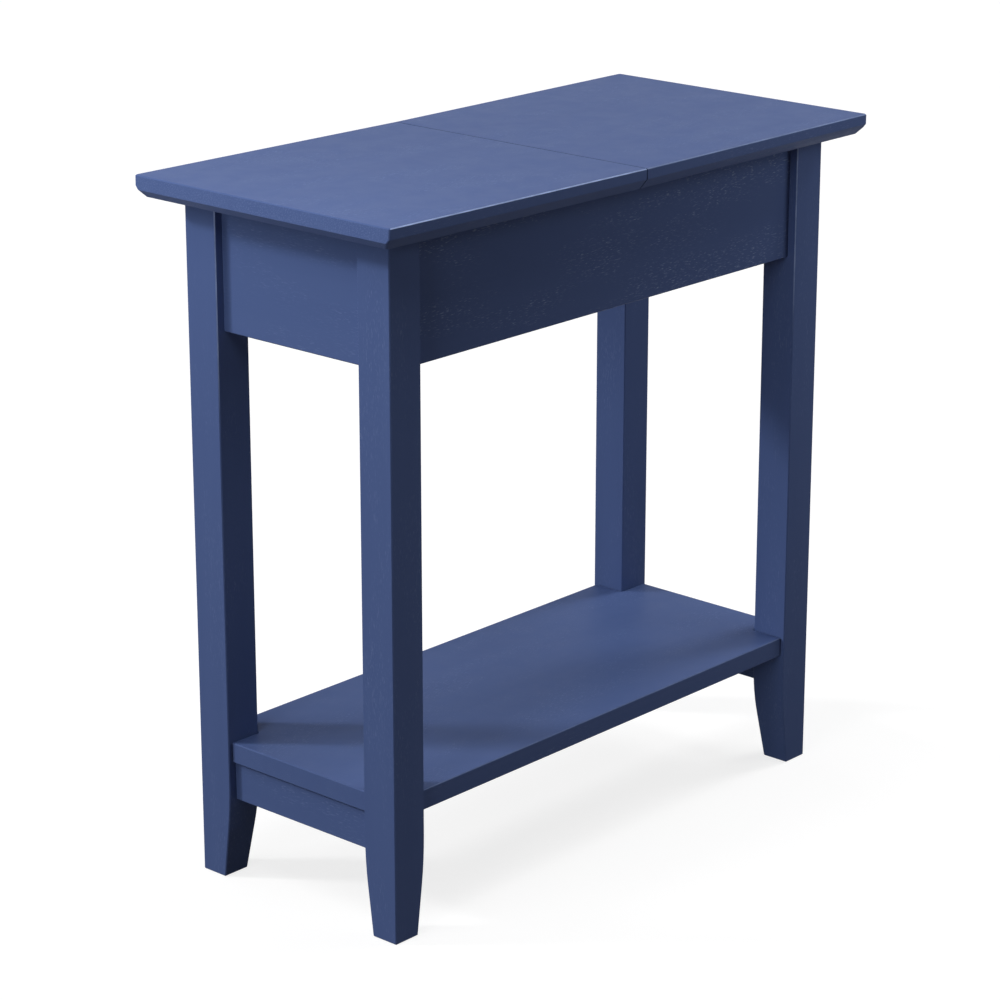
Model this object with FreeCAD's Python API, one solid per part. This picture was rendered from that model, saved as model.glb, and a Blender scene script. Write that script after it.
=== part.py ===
import FreeCAD, Part
import math
import os

# Narrow wooden end table, lengths in millimetres, angles in degrees.
# X runs along the table with the lifting half at minus X, Y runs across it with the front at minus Y,
# and Z points up from the middle of the footprint on the floor.
# The left half of the top folds up and over the right half on two concealed barrel hinges in the seam.

# Overall sizes
table_length = 609.6
table_width = 285.75
table_height = 609.6
arris = 0.8

# Top, in two halves with an upright band round the edge over a bevel that is lower at the ends
top_thickness = 18.0
top_overhang = 28.0
top_corner_radius = 2.0
side_band = 9.0
side_bevel_run = 7.5
end_band = 12.2
end_bevel_run = 5.0
seam_gap = 1.0

# Legs, square, with the two inner faces drawn in towards the foot
leg_width = 35.0
foot_width = 26.5
knee_height = 66.0
knee_blend = 22.0

# Aprons, tenoned into the legs
apron_height = 106.5
apron_thickness = 15.0
apron_recess = 8.0
apron_tenon_rise = 40.0
apron_tenon_drop = 14.0

# Lower shelf and the stretchers that carry it
shelf_height = 125.5
shelf_thickness = 18.0
shelf_inset = 3.5
stretcher_height = 35.0
stretcher_thickness = 18.0
stretcher_recess = 7.0
stretcher_tenon_shoulder = 6.0
tenon_thickness = 7.0
tenon_length = 10.0
shelf_tongue_height = 6.0
shelf_tongue_stop = 14.0

# Storage box under the top, and the cleats that hold the fixed half down
storage_bottom_thickness = 5.0
storage_groove_depth = 6.0
divider_thickness = 15.0
divider_housing_depth = 4.0
cleat_width = 18.0
cleat_depth = 16.0

# Corner braces with a hanger bolt, washer and nut for each leg
brace_height = 24.0
brace_rise = 2.0
brace_grip = 47.5
brace_tip = 10.0
bolt_radius = 3.0
bolt_bite = 24.0
bolt_proud = 3.0
washer_radius = 7.0
washer_thickness = 1.6
nut_width = 10.0
nut_height = 5.0

# Concealed hinges: two barrels joined by crescent link plates
hinge_inset = 51.0
hinge_axis_rise = 0.25
barrel_radius = 6.5
barrel_back = 8.0
plate_half_width = 1.6
outer_plate = 1.2
middle_plate = 1.6
pin_radius = 0.9
link_bow_share = 0.28

# Soft discs on the left legs that the lifting half comes to rest on
bumper_radius = 5.0
bumper_height = 2.4

# Clearances
fit_gap = 0.05
pin_gap = 0.03
plate_gap = 0.15
link_gap = 0.2
bumper_gap = 0.1
groove_gap = 0.2
bolt_gap = 0.3
notch_gap = 0.5
cut_overrun = 5.0

# Levels above the floor
frame_top = table_height - top_thickness
apron_bottom = frame_top - apron_height
brace_bottom = apron_bottom + brace_rise
brace_middle = brace_bottom + brace_height / 2
storage_bottom_low = brace_bottom + brace_height
storage_bottom_top = storage_bottom_low + storage_bottom_thickness
shelf_low = shelf_height - shelf_thickness
stretcher_low = shelf_low - stretcher_height

# Places measured from the middle of the table, towards the corner where X and Y are positive
leg_outer_x = table_length / 2 - top_overhang
leg_outer_y = table_width / 2 - top_overhang
leg_inner_x = leg_outer_x - leg_width
leg_inner_y = leg_outer_y - leg_width
end_apron_outer = leg_outer_x - apron_recess
end_apron_inner = end_apron_outer - apron_thickness
end_apron_middle = (end_apron_outer + end_apron_inner) / 2
long_apron_outer = leg_outer_y - apron_recess
long_apron_inner = long_apron_outer - apron_thickness
long_apron_middle = (long_apron_outer + long_apron_inner) / 2
stretcher_outer = leg_outer_x - stretcher_recess
stretcher_inner = stretcher_outer - stretcher_thickness
stretcher_middle = (stretcher_outer + stretcher_inner) / 2
leg_lip = leg_width - apron_recess - apron_thickness
brace_reach = leg_lip + brace_grip

# Hinge geometry across the seam, measured back from the seam and down from the hinge axis
# Each link turns on a pin that is as far back as it is down, so it turns by half of the lid's angle
# and the two links of a hinge meet again when the lid lies folded over.
hinge_offset = table_width / 2 - hinge_inset
hinge_axis_height = table_height + hinge_axis_rise
barrel_height = frame_top + top_thickness / 2
barrel_drop = hinge_axis_height - barrel_height
seam_face = seam_gap / 2
stack_half = middle_plate / 2 + plate_gap + outer_plate
bore_half_height = math.sqrt(barrel_radius ** 2 - stack_half ** 2)
pivot_drop = barrel_drop - bore_half_height + plate_half_width + link_gap
rivet_drop = barrel_drop + bore_half_height - plate_half_width - link_gap
link_length = math.hypot(pivot_drop, rivet_drop - pivot_drop)
link_bow = link_bow_share * link_length
link_radius = (link_length ** 2 / 4 + link_bow ** 2) / (2 * link_bow)
link_centre = pivot_drop / 2 - (link_radius - link_bow) * (rivet_drop - pivot_drop) / link_length
slot_half_width = stack_half + plate_gap
slot_end = max(pivot_drop, link_centre + link_radius) + plate_half_width + link_gap
barrel_end = slot_end + barrel_back
pin_reach = math.sqrt(barrel_radius ** 2 - (barrel_drop - pivot_drop + pin_radius) ** 2) - fit_gap

# Angle at which the lifting half rests on its bumpers
bumper_reach = (leg_outer_x + leg_inner_x) / 2
rest_angle = math.degrees(math.atan((bumper_height + bumper_gap) / bumper_reach))

corners = {
    "front_left": (-1, -1),
    "front_right": (1, -1),
    "rear_left": (-1, 1),
    "rear_right": (1, 1),
}
sides = {"front": -1, "rear": 1}
ends = {"left": -1, "right": 1}

origin = FreeCAD.Vector(0, 0, 0)
along_x = FreeCAD.Vector(1, 0, 0)
along_y = FreeCAD.Vector(0, 1, 0)
along_z = FreeCAD.Vector(0, 0, 1)
inward = FreeCAD.Vector(-1, -1, 0).normalize()
hinge_axis = FreeCAD.Vector(0, 0, hinge_axis_height)


# Shared helpers
def point(x, y, z):
    return FreeCAD.Vector(x, y, z)


def block(x_range, y_range, z_range):
    """A box between two limits on each axis."""
    size = [high - low for low, high in (x_range, y_range, z_range)]
    return Part.makeBox(*size, point(x_range[0], y_range[0], z_range[0]))


def rod(radius, start, end):
    """A round bar between two points."""
    return Part.makeCylinder(radius, (end - start).Length, start, end - start)


def prism(points, push):
    """A polygon pushed along a vector."""
    return Part.Face(Part.makePolygon(points + points[:1])).extrude(push)


def line(start, end):
    return Part.LineSegment(start, end).toShape()


def arc(start, middle, end):
    return Part.Arc(start, middle, end).toShape()


def cut(solid, tools):
    """One solid with every tool taken out of it."""
    return solid.cut(tools).removeSplitter().Solids[0]


def fused(solid, others):
    return solid.fuse(others).removeSplitter().Solids[0]


def eased(solid, wanted):
    """The solid with the sharp edge taken off wherever the test picks one."""
    return solid.makeChamfer(arris, [edge for edge in solid.Edges if wanted(edge)])


def every_edge(edge):
    return True


def mirrored(shape, side_x, side_y):
    """A shape made towards the positive corner, carried to the given sides."""
    if side_x < 0:
        shape = shape.mirror(origin, along_x)
    if side_y < 0:
        shape = shape.mirror(origin, along_y)
    return shape


def at_ends(shapes):
    """Copies of the shapes at both ends of the table."""
    return [mirrored(shape, side, 1) for shape in shapes for side in ends.values()]


def at_sides(shapes):
    """Copies of the shapes at the front and the rear."""
    return [mirrored(shape, 1, side) for shape in shapes for side in sides.values()]


def at_corners(shapes):
    return at_sides(at_ends(shapes))


# Tenons into the leg, which are mortises when given a gap
def long_apron_tenon(gap):
    half = tenon_thickness / 2 + gap
    return block(
        (leg_inner_x, leg_inner_x + tenon_length + gap),
        (long_apron_middle - half, long_apron_middle + half),
        (apron_bottom + apron_tenon_rise - gap, frame_top - apron_tenon_drop + gap),
    )


def end_apron_tenon(gap):
    half = tenon_thickness / 2 + gap
    return block(
        (end_apron_middle - half, end_apron_middle + half),
        (leg_inner_y, leg_inner_y + tenon_length + gap),
        (apron_bottom + apron_tenon_rise - gap, frame_top - apron_tenon_drop + gap),
    )


def stretcher_tenon(gap):
    half = tenon_thickness / 2 + gap
    return block(
        (stretcher_middle - half, stretcher_middle + half),
        (leg_inner_y, leg_inner_y + tenon_length + gap),
        (stretcher_low + stretcher_tenon_shoulder - gap, shelf_low - stretcher_tenon_shoulder + gap),
    )


# Hanger bolt line: from inside the leg, out over its inner ridge, to the slanted seat on the brace
leg_ridge = point(leg_inner_x, leg_inner_y, brace_middle)
bolt_start = leg_ridge - inward * bolt_bite
brace_seat = leg_ridge + inward * ((brace_reach + brace_tip - 2 * leg_lip) / math.sqrt(2))
nut_seat = brace_seat + inward * washer_thickness
bolt_end = nut_seat + inward * (nut_height + bolt_proud)


def bolt_hole(gap):
    return rod(bolt_radius + gap, bolt_start, bolt_end)


# Legs
def leg_side(place, push):
    """Side outline of a leg, by depth from the outer face and height, pushed to a solid past its ends."""
    turn = math.atan2(leg_width - foot_width, knee_height)
    radius = knee_blend / math.tan(turn / 2)
    dip = radius / math.cos(turn / 2) - radius
    blend_top = place(leg_width, knee_height + knee_blend)
    blend_middle = place(
        leg_width - dip * math.cos(turn / 2), knee_height + dip * math.sin(turn / 2)
    )
    blend_low = place(
        leg_width - knee_blend * math.sin(turn), knee_height - knee_blend * math.cos(turn)
    )
    foot_inner = place(foot_width - cut_overrun * math.tan(turn), -cut_overrun)
    foot_outer = place(-cut_overrun, -cut_overrun)
    top_outer = place(-cut_overrun, frame_top + cut_overrun)
    top_inner = place(leg_width, frame_top + cut_overrun)
    outline = Part.Wire([
        line(foot_outer, top_outer),
        line(top_outer, top_inner),
        line(top_inner, blend_top),
        arc(blend_top, blend_middle, blend_low),
        line(blend_low, foot_inner),
        line(foot_inner, foot_outer),
    ])
    return Part.Face(outline).extrude(push)


def leg():
    """A leg with both inner faces drawn in, mortised for its rails and bored for its hanger bolt."""
    near_x = leg_inner_x - cut_overrun
    near_y = leg_inner_y - cut_overrun
    push = leg_width + 3 * cut_overrun
    seen_from_front = leg_side(
        lambda depth, height: point(leg_outer_x - depth, near_y - cut_overrun, height), along_y * push
    )
    seen_from_end = leg_side(
        lambda depth, height: point(near_x - cut_overrun, leg_outer_y - depth, height), along_x * push
    )
    post = block((near_x, leg_outer_x), (near_y, leg_outer_y), (0, frame_top))
    post = post.common(seen_from_front).common(seen_from_end).Solids[0]
    post = eased(post, lambda edge: edge.BoundBox.ZMin < frame_top - arris)
    mortises = [long_apron_tenon(fit_gap), end_apron_tenon(fit_gap), stretcher_tenon(fit_gap)]
    return cut(post, mortises + [bolt_hole(fit_gap)])


# Aprons
def is_low_apron_edge(edge):
    return edge.BoundBox.ZMax < apron_bottom + arris


def storage_groove(x_range, y_range):
    return block(x_range, y_range, (storage_bottom_low, storage_bottom_top + groove_gap))


def long_apron():
    """The rear apron, grooved for the storage bottom and housed for the divider."""
    board = block(
        (-leg_inner_x, leg_inner_x), (long_apron_inner, long_apron_outer), (apron_bottom, frame_top)
    )
    board = eased(board, is_low_apron_edge)
    groove = storage_groove(
        (-leg_inner_x - cut_overrun, leg_inner_x + cut_overrun),
        (long_apron_inner - cut_overrun, long_apron_inner + storage_groove_depth + groove_gap),
    )
    housing = block(
        (-divider_thickness / 2 - fit_gap, divider_thickness / 2 + fit_gap),
        (long_apron_inner - cut_overrun, long_apron_inner + divider_housing_depth),
        (storage_bottom_top, frame_top + cut_overrun),
    )
    return fused(cut(board, [groove, housing]), at_ends([long_apron_tenon(0)]))


def end_apron():
    """The right apron, grooved for the storage bottom."""
    board = block(
        (end_apron_inner, end_apron_outer), (-leg_inner_y, leg_inner_y), (apron_bottom, frame_top)
    )
    board = eased(board, is_low_apron_edge)
    groove = storage_groove(
        (end_apron_inner - cut_overrun, end_apron_inner + storage_groove_depth + groove_gap),
        (-leg_inner_y - cut_overrun, leg_inner_y + cut_overrun),
    )
    return fused(cut(board, [groove]), at_sides([end_apron_tenon(0)]))


# Storage box
def notched_panel(half_x, half_y, low, high):
    """A level panel with its corners notched round the legs."""
    notch_x = leg_inner_x - notch_gap
    notch_y = leg_inner_y - notch_gap
    quarter = [(half_x, notch_y), (notch_x, notch_y), (notch_x, half_y)]
    outline = quarter
    outline = outline + [(-x, y) for x, y in reversed(quarter)]
    outline = outline + [(-x, -y) for x, y in quarter]
    outline = outline + [(x, -y) for x, y in reversed(quarter)]
    return prism([point(x, y, low) for x, y in outline], along_z * (high - low))


def storage_bottom():
    return notched_panel(
        end_apron_inner + storage_groove_depth,
        long_apron_inner + storage_groove_depth,
        storage_bottom_low,
        storage_bottom_top,
    )


def divider():
    half_y = long_apron_inner + divider_housing_depth - fit_gap
    half_x = divider_thickness / 2
    return block((-half_x, half_x), (-half_y, half_y), (storage_bottom_top, frame_top))


def cleat():
    """The rear cleat that ties the fixed half of the top to the long apron."""
    return block(
        (divider_thickness / 2 + fit_gap, leg_inner_x - notch_gap),
        (long_apron_inner - cleat_width, long_apron_inner),
        (frame_top - cleat_depth, frame_top),
    )


# Corner braces and their bolts
def brace():
    """A corner block with blunt tips, notched round the leg and bored for the hanger bolt."""
    outline = [
        (end_apron_inner, long_apron_inner - brace_reach),
        (end_apron_inner, leg_inner_y - notch_gap),
        (leg_inner_x - notch_gap, leg_inner_y - notch_gap),
        (leg_inner_x - notch_gap, long_apron_inner),
        (end_apron_inner - brace_reach, long_apron_inner),
        (end_apron_inner - brace_reach, long_apron_inner - brace_tip),
        (end_apron_inner - brace_tip, long_apron_inner - brace_reach),
    ]
    body = prism([point(x, y, brace_bottom) for x, y in outline], along_z * brace_height)
    return cut(body, [bolt_hole(bolt_gap)])


def hanger_bolt():
    return rod(bolt_radius, bolt_start, bolt_end)


def washer():
    return cut(rod(washer_radius, brace_seat, nut_seat), [bolt_hole(bolt_gap)])


def nut():
    """A hexagon nut seated on the washer."""
    corner = nut_width / math.sqrt(3)
    turns = [math.radians(60 * step) for step in range(6)]
    outline = [point(corner * math.cos(turn), corner * math.sin(turn), 0) for turn in turns]
    body = prism(outline, along_z * nut_height)
    body.Placement = FreeCAD.Placement(nut_seat, FreeCAD.Rotation(along_z, inward))
    return cut(body, [bolt_hole(pin_gap)])


# Shelf and stretchers
def shelf_tongue(gap):
    """The tongue along the right stretcher, which is the shelf's groove when given a gap."""
    half = tenon_thickness / 2 + gap
    reach = leg_inner_y - shelf_tongue_stop + gap
    return block(
        (stretcher_middle - half, stretcher_middle + half),
        (-reach, reach),
        (shelf_low, shelf_low + shelf_tongue_height + gap),
    )


def lower_shelf():
    panel = notched_panel(
        leg_outer_x - shelf_inset, leg_outer_y - shelf_inset, shelf_low, shelf_height
    )
    return cut(eased(panel, every_edge), at_ends([shelf_tongue(fit_gap)]))


def stretcher():
    """The right stretcher, tenoned into two legs, with a tongue along its top for the shelf."""
    rail = block(
        (stretcher_inner, stretcher_outer), (-leg_inner_y, leg_inner_y), (stretcher_low, shelf_low)
    )
    rail = eased(rail, every_edge)
    return fused(rail, at_sides([stretcher_tenon(0)]) + [shelf_tongue(0)])


# Top halves
def top_outline(end_inset, side_inset, height):
    """Plan outline of the right half, square at the seam and rounded at the outer corners."""
    half_x = table_length / 2 - end_inset
    half_y = table_width / 2 - side_inset
    flat_x = half_x - top_corner_radius
    flat_y = half_y - top_corner_radius
    bulge = top_corner_radius / math.sqrt(2)
    return Part.Wire([
        line(point(seam_face, -half_y, height), point(flat_x, -half_y, height)),
        arc(
            point(flat_x, -half_y, height),
            point(flat_x + bulge, -flat_y - bulge, height),
            point(half_x, -flat_y, height),
        ),
        line(point(half_x, -flat_y, height), point(half_x, flat_y, height)),
        arc(
            point(half_x, flat_y, height),
            point(flat_x + bulge, flat_y + bulge, height),
            point(flat_x, half_y, height),
        ),
        line(point(flat_x, half_y, height), point(seam_face, half_y, height)),
        line(point(seam_face, half_y, height), point(seam_face, -half_y, height)),
    ])


def top_half():
    """The right half of the top, bored in its seam edge for the hinge barrels."""
    side_slope = side_bevel_run / (top_thickness - side_band)
    outlines = [
        top_outline(end_bevel_run, side_bevel_run, frame_top),
        top_outline(0, side_slope * (end_band - side_band), table_height - end_band),
        top_outline(0, 0, table_height - side_band),
        top_outline(0, 0, table_height - arris),
        top_outline(arris, arris, table_height),
    ]
    board = Part.makeLoft(outlines, True, True).removeSplitter()
    bores = [
        rod(
            barrel_radius + fit_gap,
            point(seam_face - cut_overrun, hinge_offset, barrel_height),
            point(barrel_end + groove_gap, hinge_offset, barrel_height),
        )
    ]
    return cut(board, at_sides(bores))


# Hinge pieces on the fixed side of the rear hinge, with the lid level
def pivot_line(reach):
    """Ends of the pin that a link turns on."""
    height = hinge_axis_height - pivot_drop
    return (
        point(pivot_drop, hinge_offset - reach, height),
        point(pivot_drop, hinge_offset + reach, height),
    )


def hinge_pin():
    return rod(pin_radius, *pivot_line(pin_reach))


def barrel():
    """A barrel slotted for the link plates, with a solid back."""
    start = point(seam_face, hinge_offset, barrel_height)
    end = point(barrel_end, hinge_offset, barrel_height)
    slot = block(
        (seam_face - cut_overrun, slot_end),
        (hinge_offset - slot_half_width, hinge_offset + slot_half_width),
        (barrel_height - barrel_radius - cut_overrun, barrel_height + barrel_radius + cut_overrun),
    )
    pin_hole = rod(pin_radius + pin_gap, *pivot_line(pin_reach + fit_gap))
    return cut(rod(barrel_radius, start, end), [slot, pin_hole])


def link_plate(low, high):
    """A crescent plate from the pin to the rivet, bowed away from the hinge axis."""
    pivot = point(pivot_drop, 0, -pivot_drop)
    rivet = point(0, 0, -rivet_drop)
    chord = (rivet - pivot).normalize()
    outward = point(-chord.z, 0, chord.x)
    centre = (pivot + rivet) / 2 - outward * (link_radius - link_bow)
    pivot_ray = (pivot - centre).normalize()
    rivet_ray = (rivet - centre).normalize()
    pivot_tip = pivot + point(-pivot_ray.z, 0, pivot_ray.x) * plate_half_width
    rivet_tip = rivet - point(-rivet_ray.z, 0, rivet_ray.x) * plate_half_width
    wide = link_radius + plate_half_width
    narrow = link_radius - plate_half_width
    outline = Part.Wire([
        arc(centre + pivot_ray * wide, centre + outward * wide, centre + rivet_ray * wide),
        arc(centre + rivet_ray * wide, rivet_tip, centre + rivet_ray * narrow),
        arc(centre + rivet_ray * narrow, centre + outward * narrow, centre + pivot_ray * narrow),
        arc(centre + pivot_ray * narrow, pivot_tip, centre + pivot_ray * wide),
    ])
    face = Part.Face(outline)
    face.translate(hinge_axis + along_y * (hinge_offset + low))
    plate = face.extrude(along_y * (high - low))
    return cut(plate, [rod(pin_radius + pin_gap, *pivot_line(pin_reach))])


def outer_links():
    """The two outer plates, turned for the resting lid."""
    plate = link_plate(stack_half - outer_plate, stack_half)
    pair = Part.makeCompound([plate, plate.mirror(along_y * hinge_offset, along_y)])
    return pair.rotated(pivot_line(0)[0], along_y, rest_angle / 2)


def middle_link():
    """The single plate between them, which hangs on the lid's pin."""
    plate = link_plate(-middle_plate / 2, middle_plate / 2)
    return plate.rotated(pivot_line(0)[0], along_y, rest_angle / 2)


def bumper():
    middle = point(bumper_reach, (leg_outer_y + leg_inner_y) / 2, frame_top)
    return rod(bumper_radius, middle, middle + along_z * bumper_height)


def lifted(shape):
    """A piece of the lid, made on the fixed side, carried over and raised to its resting angle."""
    return mirrored(shape, -1, 1).rotated(hinge_axis, along_y, rest_angle)


# All pieces by name
nodes = {
    "fixed_top": top_half(),
    "lift_top": lifted(top_half()),
    "storage_bottom": storage_bottom(),
    "centre_divider": divider(),
    "lower_shelf": lower_shelf(),
    "hanger_bolts": Part.makeCompound(at_corners([hanger_bolt()])),
    "bolt_washers": Part.makeCompound(at_corners([washer()])),
    "bolt_nuts": Part.makeCompound(at_corners([nut()])),
    "lid_bumpers": Part.makeCompound(at_sides([mirrored(bumper(), -1, 1)])),
    "fixed_hinge_pins": Part.makeCompound(at_sides([hinge_pin()])),
    "lid_hinge_pins": Part.makeCompound(at_sides([lifted(hinge_pin())])),
}
for name, signs in corners.items():
    nodes["leg_" + name] = mirrored(leg(), *signs)
    nodes["brace_" + name] = mirrored(brace(), *signs)
for name, side in sides.items():
    nodes[name + "_apron"] = mirrored(long_apron(), 1, side)
    nodes[name + "_top_cleat"] = mirrored(cleat(), 1, side)
    nodes[name + "_hinge_fixed_barrel"] = mirrored(barrel(), 1, side)
    nodes[name + "_hinge_lid_barrel"] = mirrored(lifted(barrel()), 1, side)
    nodes[name + "_hinge_outer_links"] = mirrored(outer_links(), 1, side)
    nodes[name + "_hinge_middle_link"] = mirrored(lifted(middle_link()), 1, side)
for name, side in ends.items():
    nodes[name + "_apron"] = mirrored(end_apron(), side, 1)
    nodes[name + "_stretcher"] = mirrored(stretcher(), side, 1)

os.makedirs("parts", exist_ok=True)
for name, shape in nodes.items():
    shape.exportStep("parts/" + name + ".step")
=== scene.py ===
import math
import bmesh
import bpy
from mathutils import Matrix, Vector


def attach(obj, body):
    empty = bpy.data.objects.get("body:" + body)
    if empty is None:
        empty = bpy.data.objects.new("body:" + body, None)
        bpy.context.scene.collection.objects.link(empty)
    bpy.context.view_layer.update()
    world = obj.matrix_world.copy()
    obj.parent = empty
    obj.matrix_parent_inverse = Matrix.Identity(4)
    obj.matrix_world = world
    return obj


# Dresses the end table: painted wood, bare wood inside, hinge and bolt metal, wood screws and a pale studio.
# Lengths are in metres and colours are linear.
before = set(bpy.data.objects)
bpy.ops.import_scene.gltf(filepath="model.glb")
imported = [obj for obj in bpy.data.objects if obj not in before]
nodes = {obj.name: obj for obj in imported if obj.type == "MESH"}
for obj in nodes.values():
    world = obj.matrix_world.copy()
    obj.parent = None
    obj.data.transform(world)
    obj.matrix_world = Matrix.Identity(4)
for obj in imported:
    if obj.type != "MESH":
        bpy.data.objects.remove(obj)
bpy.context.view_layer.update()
scene = bpy.context.scene

# Colours of the finishes
PAINT_BLUE = (0.067, 0.104, 0.245, 1)
# Pale flecks: painted glints of light on the open pores, also the colour of end-grain specks on the top's
# ends
PAINT_FLECK_GLINT = (0.200, 0.265, 0.460, 1)
PAINT_DEEP = (0.059, 0.093, 0.226, 1)
# Painted highlight: pale paint on the arrises where light would catch them
PAINT_ARRIS_HIGHLIGHT = (0.430, 0.550, 0.880, 1)
# Painted shade for the seam between the two halves of the top
SEAM_SHADE = (0.030, 0.046, 0.108, 1)
WOOD_PALE = (0.560, 0.392, 0.226, 1)
WOOD_DARK = (0.352, 0.214, 0.108, 1)
BRASS_BRIGHT = (0.780, 0.560, 0.240, 1)
BRASS_DULL = (0.520, 0.350, 0.130, 1)
STEEL_BRIGHT = (0.560, 0.560, 0.570, 1)
STEEL_DULL = (0.330, 0.330, 0.340, 1)
ZINC_BRIGHT = (0.620, 0.620, 0.600, 1)
ZINC_DULL = (0.420, 0.420, 0.400, 1)
RUBBER_PALE = (0.640, 0.640, 0.610, 1)
RUBBER_GREY = (0.540, 0.540, 0.520, 1)
WHITE = (1, 1, 1, 1)

# Open grain: how each texture is stretched along the wood, and the part of its range that shows
PORE_STRETCH = (190, 2000, 2000)
PORE_RANGE = (0.60, 0.74)
PATCH_STRETCH = (9, 34, 34)
PATCH_RANGE = (0.42, 0.66)
END_PORE_SCALE = 850.0
END_PORE_RANGE = (0.48, 0.72)
RING_STRETCH = (3, 42, 42)
RING_RANGE = (0.30, 0.70)
FIBRE_STRETCH = (60, 900, 900)
FIBRE_HEIGHT = 0.35
GRAIN_TURNS = {
    "along": (0, 0, 0),
    "across": (0, 0, math.pi / 2),
    "upright": (0, math.pi / 2, 0),
}

# Handling: how fine its blotches and grit are
BLOTCH_SCALE = 55.0
GRIT_SCALE = 900.0

# Painted highlights on arrises: how patchy they are, and the slopes and heights between which they begin and
# are full
HIGHLIGHT_BREAK_SCALE = 60.0
HIGHLIGHT_BREAK_RANGE = (0.30, 0.70)
HIGHLIGHT_BREAK_SHARES = (0.55, 1.0)
BOARD_ARRIS_SLOPE = (1.30, 1.38)
LEG_ARRIS_SLOPE = (-0.25, -0.40)
LEG_HIGHLIGHT_HEIGHTS = (0.40, 0.50)

# Paint film. Relief is a depth and a strength, here and below
DEEP_SHARE = 0.35
PAINT_BLOTCH_RANGE = (0.25, 0.75)
PAINT_ROUGHNESS = (0.46, 0.52)
PAINT_GLOSS = 0.035
PAINT_RELIEF = (0.00004, 0.5)

# Ends of the two halves of the top: which faces they are, how far their cut pores show, and the reach of the
# painted shade at the seam
TOP_HALVES = ("lid", "top")
END_FACE_SLOPE = (0.80, 0.95)
END_FLECK_SHARE = 0.22
SEAM_SHADE_REACH = (0.004, 0.002)

# Painted pieces: the run of the grain, then how far the painted glints in the pores, a board's painted arris
# highlight and a leg's show
PAINTED = {
    "lid": ("along", 0.45, 0.90, 0.0),
    "top": ("along", 0.35, 0.40, 0.0),
    "board": ("along", 0.45, 0.15, 0.0),
    "apron": ("along", 0.95, 0.10, 0.0),
    "end_rail": ("across", 0.30, 0.10, 0.0),
    "leg": ("upright", 0.30, 0.05, 0.52),
}

# Bare wood, metal and rubber. A metal has two colours, the stretch of its tool marks, and a roughness
WOOD_TONE_RANGE = (0.20, 0.80)
WOOD_ROUGHNESS = (0.62, 0.78)
WOOD_RELIEF = (0.00010, 0.6)
METALS = {
    "hinge_brass": (BRASS_BRIGHT, BRASS_DULL, (2600, 60, 60), 0.26),
    "hinge_steel": (STEEL_BRIGHT, STEEL_DULL, (300, 300, 2400), 0.34),
    "zinc_steel": (ZINC_BRIGHT, ZINC_DULL, (700, 700, 700), 0.38),
}
METAL_BLOTCH_RANGE = (0.35, 0.70)
SCRATCH_RANGE = (0.30, 0.70)
SCRATCH_SWING = 0.08
METAL_RELIEF = (0.00002, 0.5)
GRIT_RANGE = (0.30, 0.70)
RUBBER_ROUGHNESS = (0.38, 0.52)
RUBBER_CLEARNESS = 0.35
RUBBER_IOR = 1.43

# Soft arrises on the painted solids
WELD_REACH = 0.00001
ARRIS_ROUND = 0.00022
ARRIS_STEPS = 2
ARRIS_ANGLE = 30

# Wood screws of the corner braces and top cleats
HEAD_RADIUS = 0.0034
HEAD_RISE = 0.0016
HEAD_ROUND = 0.0010
HEAD_ROUND_STEPS = 4
HEAD_SIDES = 24
CROWN_LEVEL = HEAD_RISE * 0.999
RECESS_LENGTH = 0.0036
RECESS_WIDTH = 0.0009
RECESS_DEPTH = 0.0011
RECESS_TAPER = 0.5
SHANK_RADIUS = 0.0017
SHANK_TIP = 0.0003
SHANK_LENGTH = 0.030
SHANK_SIDES = 12
BRACE_SCREW_SHARES = (0.17, 0.83)
BRACE_FACE_MATCH = 0.99
CLEAT_UP_SHARES = (0.20, 0.80)
CLEAT_SIDE_SHARES = (0.35, 0.65)

# Floor: its colour where it is seen, the colour that it throws back, and its own glow
FLOOR_SEEN = (0.280, 0.280, 0.280, 1)
FLOOR_BOUNCE = (0.120, 0.090, 0.066, 1)
FLOOR_GLOW = 0.80
FLOOR_ROUGHNESS = 0.9
FLOOR_REACH = 20.0
FLOOR_DROP = 0.0003

# Studio light: direction towards each soft lamp, how wide it is in degrees, and its strength
LAMPS = {
    "low_left_key": ((-0.542, 0.652, 0.530), 8, 1.52),
    "back_softbox": ((0.0, 0.574, 0.819), 35, 0.28),
    "high_left_softbox": ((-0.310, 0.0, 0.950), 18, 0.30),
    "left_fill": ((-0.966, -0.170, 0.190), 20, 0.79),
    "high_right_softbox": ((0.424, -0.112, 0.899), 18, 0.53),
    "right_softbox": ((0.741, -0.195, 0.643), 18, 0.92),
}
# Lamps beside the table: place, aim, width and power
NEAR_LAMPS = {
    "window_softbox": ((-0.75, 0.50, 0.85), (-0.28, 0.10, 0.50), 0.30, 2.1),
    "end_softbox": ((-0.62, -0.10, 1.00), (-0.30, -0.06, 0.60), 0.25, 1.16),
    "front_right_fill": ((0.70, -0.80, 0.85), (0.15, -0.10, 0.45), 0.50, 2.64),
}
AMBIENT = 0.01

# Camera, placed from the photograph's perspective
CAMERA_PLACE = (-2.0567, -1.8317, 1.1886)
CAMERA_TILT = 18.01
CAMERA_TURN = -48.01
CAMERA_LENS = 119.05
CAMERA_SENSOR = 36.0
CAMERA_REACH = 100.0


# Shader helpers
def add_node(tree, kind, **settings):
    node = tree.nodes.new(kind)
    for name, value in settings.items():
        setattr(node, name, value)
    return node


def join(tree, source, target):
    """Links one socket to another, or writes a plain value into the target."""
    if isinstance(source, bpy.types.NodeSocket):
        tree.links.new(source, target)
    else:
        target.default_value = source


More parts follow.
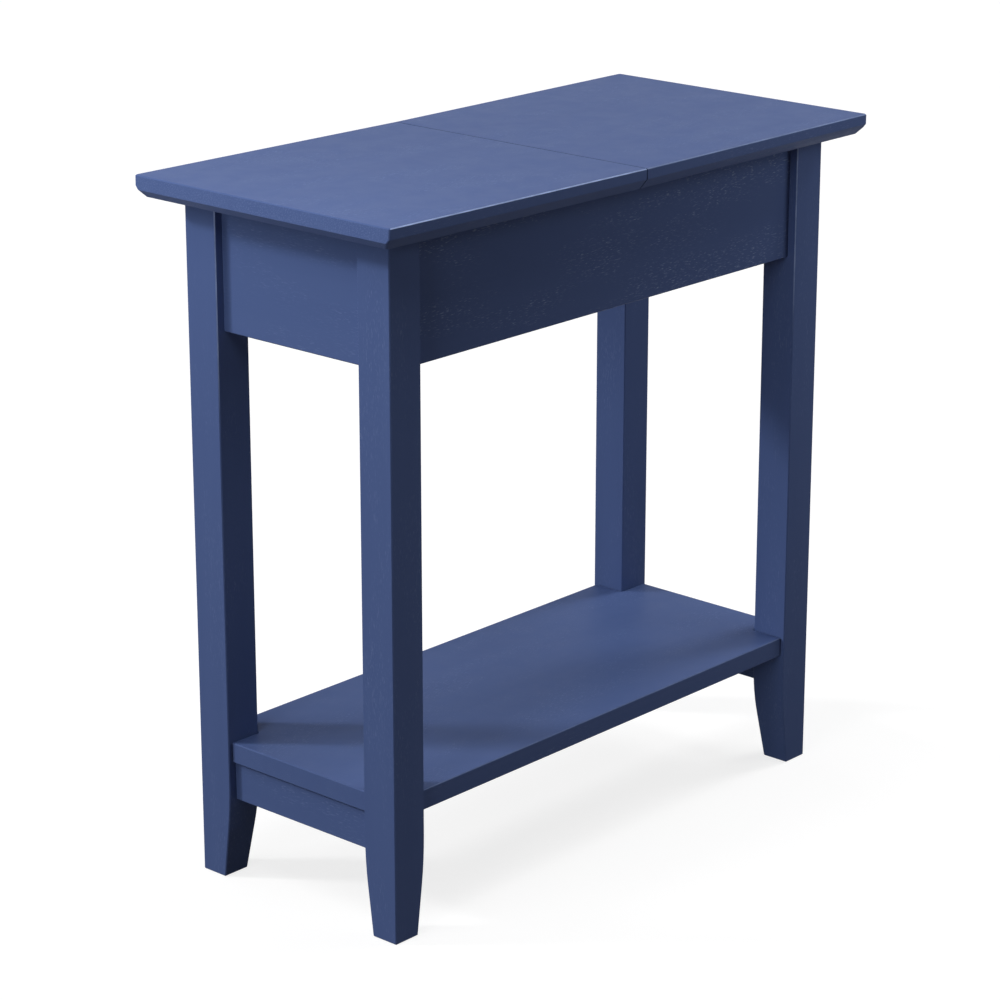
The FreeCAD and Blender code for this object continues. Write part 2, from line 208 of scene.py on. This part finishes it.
def mix_colour(tree, share, first, second):
    node = add_node(tree, "ShaderNodeMix", data_type="RGBA")
    join(tree, share, node.inputs["Factor"])
    join(tree, first, node.inputs[6])
    join(tree, second, node.inputs[7])
    return node.outputs[2]


def mix_value(tree, share, first, second):
    node = add_node(tree, "ShaderNodeMix", data_type="FLOAT")
    join(tree, share, node.inputs["Factor"])
    join(tree, first, node.inputs["A"])
    join(tree, second, node.inputs["B"])
    return node.outputs["Result"]


def math_step(tree, operation, *values):
    node = add_node(tree, "ShaderNodeMath", operation=operation)
    for index, value in enumerate(values):
        join(tree, value, node.inputs[index])
    return node.outputs[0]


def times(tree, first, second):
    return math_step(tree, "MULTIPLY", first, second)


def split(tree, vector):
    node = add_node(tree, "ShaderNodeSeparateXYZ")
    join(tree, vector, node.inputs[0])
    return node.outputs


def remap(tree, value, low, high, to_low=0.0, to_high=1.0):
    node = add_node(tree, "ShaderNodeMapRange", interpolation_type="SMOOTHSTEP")
    for name, source in (
        ("Value", value), ("From Min", low), ("From Max", high), ("To Min", to_low), ("To Max", to_high)
    ):
        join(tree, source, node.inputs[name])
    return node.outputs["Result"]


def mapped(tree, vector, socket, value):
    """The vector with one setting of a Mapping node, such as its Scale or Rotation."""
    node = add_node(tree, "ShaderNodeMapping")
    join(tree, vector, node.inputs["Vector"])
    node.inputs[socket].default_value = value
    return node.outputs["Vector"]


def noise(tree, vector, scale=1.0, detail=2.0):
    node = add_node(tree, "ShaderNodeTexNoise")
    join(tree, vector, node.inputs["Vector"])
    node.inputs["Scale"].default_value = scale
    node.inputs["Detail"].default_value = detail
    return node.outputs["Fac"]


def stretched_noise(tree, place, stretch, detail=2.0):
    return noise(tree, mapped(tree, place, "Scale", stretch), detail=detail)


def raise_bump(tree, shader, height, depth, strength):
    bump = add_node(tree, "ShaderNodeBump")
    bump.inputs["Strength"].default_value = strength
    bump.inputs["Distance"].default_value = depth
    join(tree, height, bump.inputs["Height"])
    join(tree, bump.outputs["Normal"], shader.inputs["Normal"])


def new_group(name, vectors, values):
    """An empty shader group that takes vectors and gives values, with its input and output nodes."""
    tree = bpy.data.node_groups.new(name, "ShaderNodeTree")
    for socket in vectors:
        tree.interface.new_socket(socket, in_out="INPUT", socket_type="NodeSocketVector")
    for socket in values:
        tree.interface.new_socket(socket, in_out="OUTPUT", socket_type="NodeSocketFloat")
    return tree, tree.nodes.new("NodeGroupInput"), tree.nodes.new("NodeGroupOutput")


def place_group(tree, group, **sources):
    node = add_node(tree, "ShaderNodeGroup", node_tree=group)
    for socket, source in sources.items():
        join(tree, source, node.inputs[socket])
    return node.outputs


def new_finish(name):
    """A material with a bare Principled shader and Object coordinates."""
    finish = bpy.data.materials.new(name)
    finish.use_nodes = True
    tree = finish.node_tree
    place = add_node(tree, "ShaderNodeTexCoord").outputs["Object"]
    return finish, tree, tree.nodes["Principled BSDF"], place


# Effects that several finishes share
def open_grain_group():
    """Pores along local X, gathered in patches; cut pores of end grain; tones between rings; and relief."""
    tree, given, result = new_group("open_grain", ["Vector"], ["Pores", "Ends", "Tone", "Height"])
    place = given.outputs["Vector"]
    dashes = remap(tree, stretched_noise(tree, place, PORE_STRETCH, 1.0), *PORE_RANGE)
    patches = remap(tree, stretched_noise(tree, place, PATCH_STRETCH), *PATCH_RANGE)
    pores = times(tree, dashes, patches)
    ends = remap(tree, noise(tree, place, END_PORE_SCALE), *END_PORE_RANGE)
    tone = stretched_noise(tree, place, RING_STRETCH, 3.0)
    fibre = times(tree, stretched_noise(tree, place, FIBRE_STRETCH), FIBRE_HEIGHT)
    join(tree, pores, result.inputs["Pores"])
    join(tree, ends, result.inputs["Ends"])
    join(tree, tone, result.inputs["Tone"])
    join(tree, math_step(tree, "SUBTRACT", fibre, pores), result.inputs["Height"])
    return tree


def handled_group():
    """Slow blotches and fine grit, for roughness and for metal that has dulled in places."""
    tree, given, result = new_group("handled", ["Vector"], ["Blotch", "Grit"])
    place = given.outputs["Vector"]
    join(tree, noise(tree, place, BLOTCH_SCALE, 4.0), result.inputs["Blotch"])
    join(tree, noise(tree, place, GRIT_SCALE), result.inputs["Grit"])
    return tree


def arris_highlight_group():
    """Painted highlights on arrises that would catch the light: along the front and rear of a board, and up
    a leg beside its aprons.
    """
    tree, given, result = new_group("arris_highlight", ["Facing", "Place"], ["Board", "Leg"])
    facing = split(tree, given.outputs["Facing"])
    place = split(tree, given.outputs["Place"])
    uneven = noise(tree, given.outputs["Place"], HIGHLIGHT_BREAK_SCALE, 3.0)
    patchy = remap(tree, uneven, *HIGHLIGHT_BREAK_RANGE, *HIGHLIGHT_BREAK_SHARES)
    lean = math_step(tree, "ADD", math_step(tree, "ABSOLUTE", facing["Y"]), facing["Z"])
    board_arris = remap(tree, lean, *BOARD_ARRIS_SLOPE)
    corner = math_step(tree, "SIGN", times(tree, place["X"], place["Y"]))
    turned = times(tree, corner, times(tree, facing["X"], facing["Y"]))
    leg_arris = remap(tree, turned, *LEG_ARRIS_SLOPE)
    beside_apron = times(tree, leg_arris, remap(tree, place["Z"], *LEG_HIGHLIGHT_HEIGHTS))
    join(tree, times(tree, board_arris, patchy), result.inputs["Board"])
    join(tree, times(tree, beside_apron, patchy), result.inputs["Leg"])
    return tree


OPEN_GRAIN = open_grain_group()
HANDLED = handled_group()
ARRIS_HIGHLIGHT = arris_highlight_group()


# Finishes
def grain_of(tree, place, run):
    """Open grain that runs along, across or up the table."""
    return place_group(tree, OPEN_GRAIN, Vector=mapped(tree, place, "Rotation", GRAIN_TURNS[run]))


def cut_ends(tree, place, facing, grain, film, flecks):
    """Specks of end grain on the ends of a top half, and painted shade on the edge that meets the seam,
    where the gap is in shadow.
    """
    end_face = remap(tree, math_step(tree, "ABSOLUTE", split(tree, facing)["X"]), *END_FACE_SLOPE)
    from_seam = math_step(tree, "ABSOLUTE", split(tree, place)["X"])
    seam_shade = times(tree, end_face, remap(tree, from_seam, *SEAM_SHADE_REACH))
    flecks = mix_value(tree, end_face, flecks, times(tree, grain["Ends"], END_FLECK_SHARE))
    return mix_colour(tree, seam_shade, film, SEAM_SHADE), mix_value(tree, seam_shade, flecks, 0.0)


def blue_paint(name, run, pore_glint_share, board_highlight_share, leg_highlight_share):
    """Satin blue paint over open grain, with faint pale flecks in the pores that are painted glints of
    light.
    """
    finish, tree, shader, place = new_finish("blue_paint_" + name)
    facing = add_node(tree, "ShaderNodeTexCoord").outputs["Normal"]
    grain = grain_of(tree, place, run)
    handled = place_group(tree, HANDLED, Vector=place)
    lit_arris = place_group(tree, ARRIS_HIGHLIGHT, Facing=facing, Place=place)
    depth = times(tree, remap(tree, grain["Tone"], *RING_RANGE), DEEP_SHARE)
    film = mix_colour(tree, depth, PAINT_BLUE, PAINT_DEEP)
    # Painted glints: paler paint in the pores, strongest on the long aprons where light grazes
    flecks = times(tree, grain["Pores"], pore_glint_share)
    if name in TOP_HALVES:
        film, flecks = cut_ends(tree, place, facing, grain, film, flecks)
    flecked = mix_colour(tree, flecks, film, PAINT_FLECK_GLINT)
    # Painted highlight on the arrises, mixed in as paler paint
    board_highlight = times(tree, lit_arris["Board"], board_highlight_share)
    leg_highlight = times(tree, lit_arris["Leg"], leg_highlight_share)
    painted_highlight = math_step(tree, "MAXIMUM", board_highlight, leg_highlight)
    join(tree, mix_colour(tree, painted_highlight, flecked, PAINT_ARRIS_HIGHLIGHT), shader.inputs["Base Color"])
    rough = remap(tree, handled["Blotch"], *PAINT_BLOTCH_RANGE, *PAINT_ROUGHNESS)
    join(tree, rough, shader.inputs["Roughness"])
    shader.inputs["Specular IOR Level"].default_value = PAINT_GLOSS
    raise_bump(tree, shader, grain["Height"], *PAINT_RELIEF)
    return finish


def bare_wood(run):
    """Unpainted hardwood of the hidden blocks."""
    finish, tree, shader, place = new_finish("bare_wood_" + run)
    grain = grain_of(tree, place, run)
    wood = mix_colour(tree, remap(tree, grain["Tone"], *RING_RANGE), WOOD_PALE, WOOD_DARK)
    join(tree, mix_colour(tree, grain["Pores"], wood, WOOD_DARK), shader.inputs["Base Color"])
    rough = remap(tree, grain["Tone"], *WOOD_TONE_RANGE, *WOOD_ROUGHNESS)
    join(tree, rough, shader.inputs["Roughness"])
    raise_bump(tree, shader, grain["Height"], *WOOD_RELIEF)
    return finish


def worked_metal(name, bright, dull, marks, roughness):
    """Metal that has dulled in blotches, with tool marks stretched over Object coordinates."""
    finish, tree, shader, place = new_finish(name)
    handled = place_group(tree, HANDLED, Vector=place)
    scratches = stretched_noise(tree, place, marks)
    dulled = remap(tree, handled["Blotch"], *METAL_BLOTCH_RANGE)
    join(tree, mix_colour(tree, dulled, bright, dull), shader.inputs["Base Color"])
    rough = remap(tree, scratches, *SCRATCH_RANGE, roughness - SCRATCH_SWING, roughness + SCRATCH_SWING)
    join(tree, rough, shader.inputs["Roughness"])
    shader.inputs["Metallic"].default_value = 1.0
    raise_bump(tree, shader, scratches, *METAL_RELIEF)
    return finish


def soft_rubber():
    """Translucent stick-on buffer."""
    finish, tree, shader, place = new_finish("clear_rubber")
    handled = place_group(tree, HANDLED, Vector=place)
    tint = mix_colour(tree, handled["Blotch"], RUBBER_PALE, RUBBER_GREY)
    join(tree, tint, shader.inputs["Base Color"])
    rough = remap(tree, handled["Grit"], *GRIT_RANGE, *RUBBER_ROUGHNESS)
    join(tree, rough, shader.inputs["Roughness"])
    shader.inputs["Transmission Weight"].default_value = RUBBER_CLEARNESS
    shader.inputs["IOR"].default_value = RUBBER_IOR
    return finish


PAINT = {name: blue_paint(name, *recipe) for name, recipe in PAINTED.items()}
WOOD = bare_wood("along")
METAL = {name: worked_metal(name, *recipe) for name, recipe in METALS.items()}
RUBBER = soft_rubber()


# Finish of every solid
def finish_of(name):
    if name == "lid_bumpers":
        return RUBBER
    if "barrel" in name:
        return METAL["hinge_brass"]
    if "hinge" in name:
        return METAL["hinge_steel"]
    if "bolt" in name:
        return METAL["zinc_steel"]
    if name.startswith("brace_") or name.endswith("_cleat"):
        return WOOD
    if name.startswith("leg_"):
        return PAINT["leg"]
    if name in ("left_apron", "right_apron", "left_stretcher", "right_stretcher", "centre_divider"):
        return PAINT["end_rail"]
    if name.endswith("_apron"):
        return PAINT["apron"]
    if name == "lift_top":
        return PAINT["lid"]
    if name == "fixed_top":
        return PAINT["top"]
    return PAINT["board"]


def soften(node):
    """Rounds the eased arrises of a painted solid a little further."""
    weld = node.modifiers.new("weld", "WELD")
    weld.merge_threshold = WELD_REACH
    bevel = node.modifiers.new("arris", "BEVEL")
    bevel.width = ARRIS_ROUND
    bevel.segments = ARRIS_STEPS
    bevel.limit_method = "ANGLE"
    bevel.angle_limit = math.radians(ARRIS_ANGLE)


for name, node in nodes.items():
    finish = finish_of(name)
    node.data.materials.clear()
    node.data.materials.append(finish)
    if finish in PAINT.values():
        soften(node)


# Wood screws
def add_piece(name, shape, finish):
    """Turns a bmesh into an object of the scene."""
    mesh = bpy.data.meshes.new(name)
    shape.to_mesh(mesh)
    shape.free()
    mesh.materials.append(finish)
    piece = bpy.data.objects.new(name, mesh)
    scene.collection.objects.link(piece)
    return piece


def new_verts(made):
    return [item for item in made["geom"] if isinstance(item, bmesh.types.BMVert)]


def cut_recess(shape):
    """Sinks a tapered cross into the flat crown of a screw's head."""
    for side in (Vector((1, 0, 0)), Vector((0, 1, 0))):
        for reach in (-RECESS_LENGTH / 2, -RECESS_WIDTH / 2, RECESS_WIDTH / 2, RECESS_LENGTH / 2):
            crown = [face for face in shape.faces if face.calc_center_median().z > CROWN_LEVEL]
            edges = {edge for face in crown for edge in face.edges}
            verts = {vert for face in crown for vert in face.verts}
            bmesh.ops.bisect_plane(
                shape, geom=crown + list(edges) + list(verts), plane_co=side * reach, plane_no=side
            )
    cross = []
    for face in shape.faces:
        middle = face.calc_center_median()
        short, long = sorted((abs(middle.x), abs(middle.y)))
        if middle.z > CROWN_LEVEL and short < RECESS_WIDTH / 2 and long < RECESS_LENGTH / 2:
            cross.append(face)
    sunk = new_verts(bmesh.ops.extrude_face_region(shape, geom=cross))
    bmesh.ops.scale(shape, verts=sunk, vec=(RECESS_TAPER, RECESS_TAPER, 1))
    bmesh.ops.translate(shape, verts=sunk, vec=(0, 0, -RECESS_DEPTH))


def screw_shape():
    """A round-headed screw that stands on the origin, with a cross recess and its shank below."""
    shape = bmesh.new()
    bmesh.ops.create_circle(shape, cap_ends=True, segments=HEAD_SIDES, radius=HEAD_RADIUS)
    raised = new_verts(bmesh.ops.extrude_face_region(shape, geom=shape.faces[:]))
    bmesh.ops.translate(shape, verts=raised, vec=(0, 0, HEAD_RISE))
    bmesh.ops.recalc_face_normals(shape, faces=shape.faces[:])
    rim = [edge for edge in shape.edges if min(vert.co.z for vert in edge.verts) > HEAD_RISE / 2]
    bmesh.ops.bevel(
        shape, geom=rim, offset=HEAD_ROUND,
        affect="EDGES", segments=HEAD_ROUND_STEPS, profile=0.5, material=-1,
    )
    cut_recess(shape)
    bmesh.ops.create_cone(
        shape, cap_ends=True, segments=SHANK_SIDES, radius1=SHANK_TIP, radius2=SHANK_RADIUS,
        depth=SHANK_LENGTH, matrix=Matrix.Translation((0, 0, -SHANK_LENGTH / 2)),
    )
    mesh = bpy.data.meshes.new("wood_screw")
    shape.to_mesh(mesh)
    shape.free()
    return mesh


def set_screws(name, places):
    """One piece of several screws, each standing on a point and facing outwards."""
    screw = screw_shape()
    shape = bmesh.new()
    for point, outward in places:
        earlier = len(shape.verts)
        shape.from_mesh(screw)
        shape.verts.ensure_lookup_table()
        turn = outward.to_track_quat("Z", "Y").to_matrix().to_4x4()
        bmesh.ops.transform(shape, matrix=Matrix.Translation(point) @ turn, verts=shape.verts[earlier:])
    piece = add_piece(name, shape, METAL["zinc_steel"])
    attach(piece, "table")


def brace_screw_places(brace):
    """Two points near the ends of the slanted face that looks to the middle of the table."""
    mesh = brace.data
    centre = sum((vert.co for vert in mesh.vertices), Vector()) / len(mesh.vertices)
    inwards = Vector((-math.copysign(1, centre.x), -math.copysign(1, centre.y), 0)).normalized()
    slanted = [face for face in mesh.polygons if face.normal.dot(inwards) > BRACE_FACE_MATCH]
    corners = [mesh.vertices[index].co for face in slanted for index in face.vertices]
    run = inwards.cross(Vector((0, 0, 1)))
    depth = max(corner.dot(inwards) for corner in corners)
    surface = [corner for corner in corners if corner.dot(inwards) > depth - WELD_REACH]
    reaches = [corner.dot(run) for corner in surface]
    heights = [corner.z for corner in surface]
    height = (min(heights) + max(heights)) / 2
    for share in BRACE_SCREW_SHARES:
        reach = min(reaches) + share * (max(reaches) - min(reaches))
        yield inwards * depth + run * reach + Vector((0, 0, height)), inwards


def cleat_screw_places(cleat):
    """Screws up into the fixed half of the top, and sideways into the long apron."""
    corners = [vert.co for vert in cleat.data.vertices]
    low = Vector([min(corner[axis] for corner in corners) for axis in range(3)])
    high = Vector([max(corner[axis] for corner in corners) for axis in range(3)])
    middle = (low + high) / 2
    inner = low.y if middle.y > 0 else high.y
    for share in CLEAT_UP_SHARES:
        yield Vector((low.x + share * (high.x - low.x), middle.y, low.z)), Vector((0, 0, -1))
    for share in CLEAT_SIDE_SHARES:
        point = Vector((low.x + share * (high.x - low.x), inner, middle.z))
        yield point, Vector((0, -math.copysign(1, middle.y), 0))


set_screws("brace_screws", [
    place for name, node in nodes.items() if name.startswith("brace_") for place in brace_screw_places(node)
])
set_screws("cleat_screws", [
    place for name, node in nodes.items() if name.endswith("_cleat") for place in cleat_screw_places(node)
])


# Studio
def seen_directly(tree):
    """One for rays from the camera, off gloss or through glass, and nought for light that spreads."""
    path = add_node(tree, "ShaderNodeLightPath").outputs
    mirrored = math_step(tree, "MAXIMUM", path["Is Glossy Ray"], path["Is Transmission Ray"])
    return math_step(tree, "MAXIMUM", path["Is Camera Ray"], mirrored)


def pale_floor():
    """A wide floor that looks white, keeps the table's shadow and throws little light back up."""
    finish, tree, shader, _ = new_finish("pale_floor")
    shown = seen_directly(tree)
    join(tree, mix_colour(tree, shown, FLOOR_BOUNCE, FLOOR_SEEN), shader.inputs["Base Color"])
    join(tree, times(tree, shown, FLOOR_GLOW), shader.inputs["Emission Strength"])
    shader.inputs["Emission Color"].default_value = WHITE
    shader.inputs["Roughness"].default_value = FLOOR_ROUGHNESS
    shader.inputs["Specular IOR Level"].default_value = 0.0
    shape = bmesh.new()
    bmesh.ops.create_grid(shape, x_segments=1, y_segments=1, size=FLOOR_REACH)
    bmesh.ops.translate(shape, verts=shape.verts, vec=(0, 0, -FLOOR_DROP))
    floor = add_piece("floor", shape, finish)


def studio_world():
    """White where it is seen, and almost dark to the light that spreads, which comes from the lamps."""
    world = bpy.data.worlds.new("studio")
    world.use_nodes = True
    scene.world = world
    tree = world.node_tree
    shown = mix_value(tree, seen_directly(tree), AMBIENT, 1.0)
    join(tree, shown, tree.nodes["Background"].inputs["Strength"])
    tree.nodes["Background"].inputs["Color"].default_value = WHITE


def hang_lamp(name, lamp, towards):
    """Links a lamp that shines from the given direction."""
    holder = bpy.data.objects.new(name, lamp)
    holder.rotation_mode = "QUATERNION"
    holder.rotation_quaternion = towards.to_track_quat("Z", "Y")
    scene.collection.objects.link(holder)
    return holder


def soft_lamps():
    for name, (towards, width, strength) in LAMPS.items():
        lamp = bpy.data.lights.new(name, "SUN")
        lamp.energy = strength
        lamp.angle = math.radians(width)
        hang_lamp(name, lamp, Vector(towards))


def near_lamps():
    for name, (place, aim, width, power) in NEAR_LAMPS.items():
        lamp = bpy.data.lights.new(name, "AREA")
        lamp.energy = power
        lamp.size = width
        holder = hang_lamp(name, lamp, Vector(place) - Vector(aim))
        holder.location = place
        holder.visible_camera = False


def photo_camera():
    camera = bpy.data.cameras.new("photo_camera")
    camera.lens = CAMERA_LENS
    camera.sensor_width = CAMERA_SENSOR
    camera.clip_end = CAMERA_REACH
    holder = bpy.data.objects.new("photo_camera", camera)
    holder.location = CAMERA_PLACE
    holder.rotation_euler = (math.radians(90 - CAMERA_TILT), 0, math.radians(CAMERA_TURN))
    scene.collection.objects.link(holder)
    scene.camera = holder


pale_floor()
studio_world()
soft_lamps()
near_lamps()
photo_camera()
scene.view_settings.view_transform = "Standard"
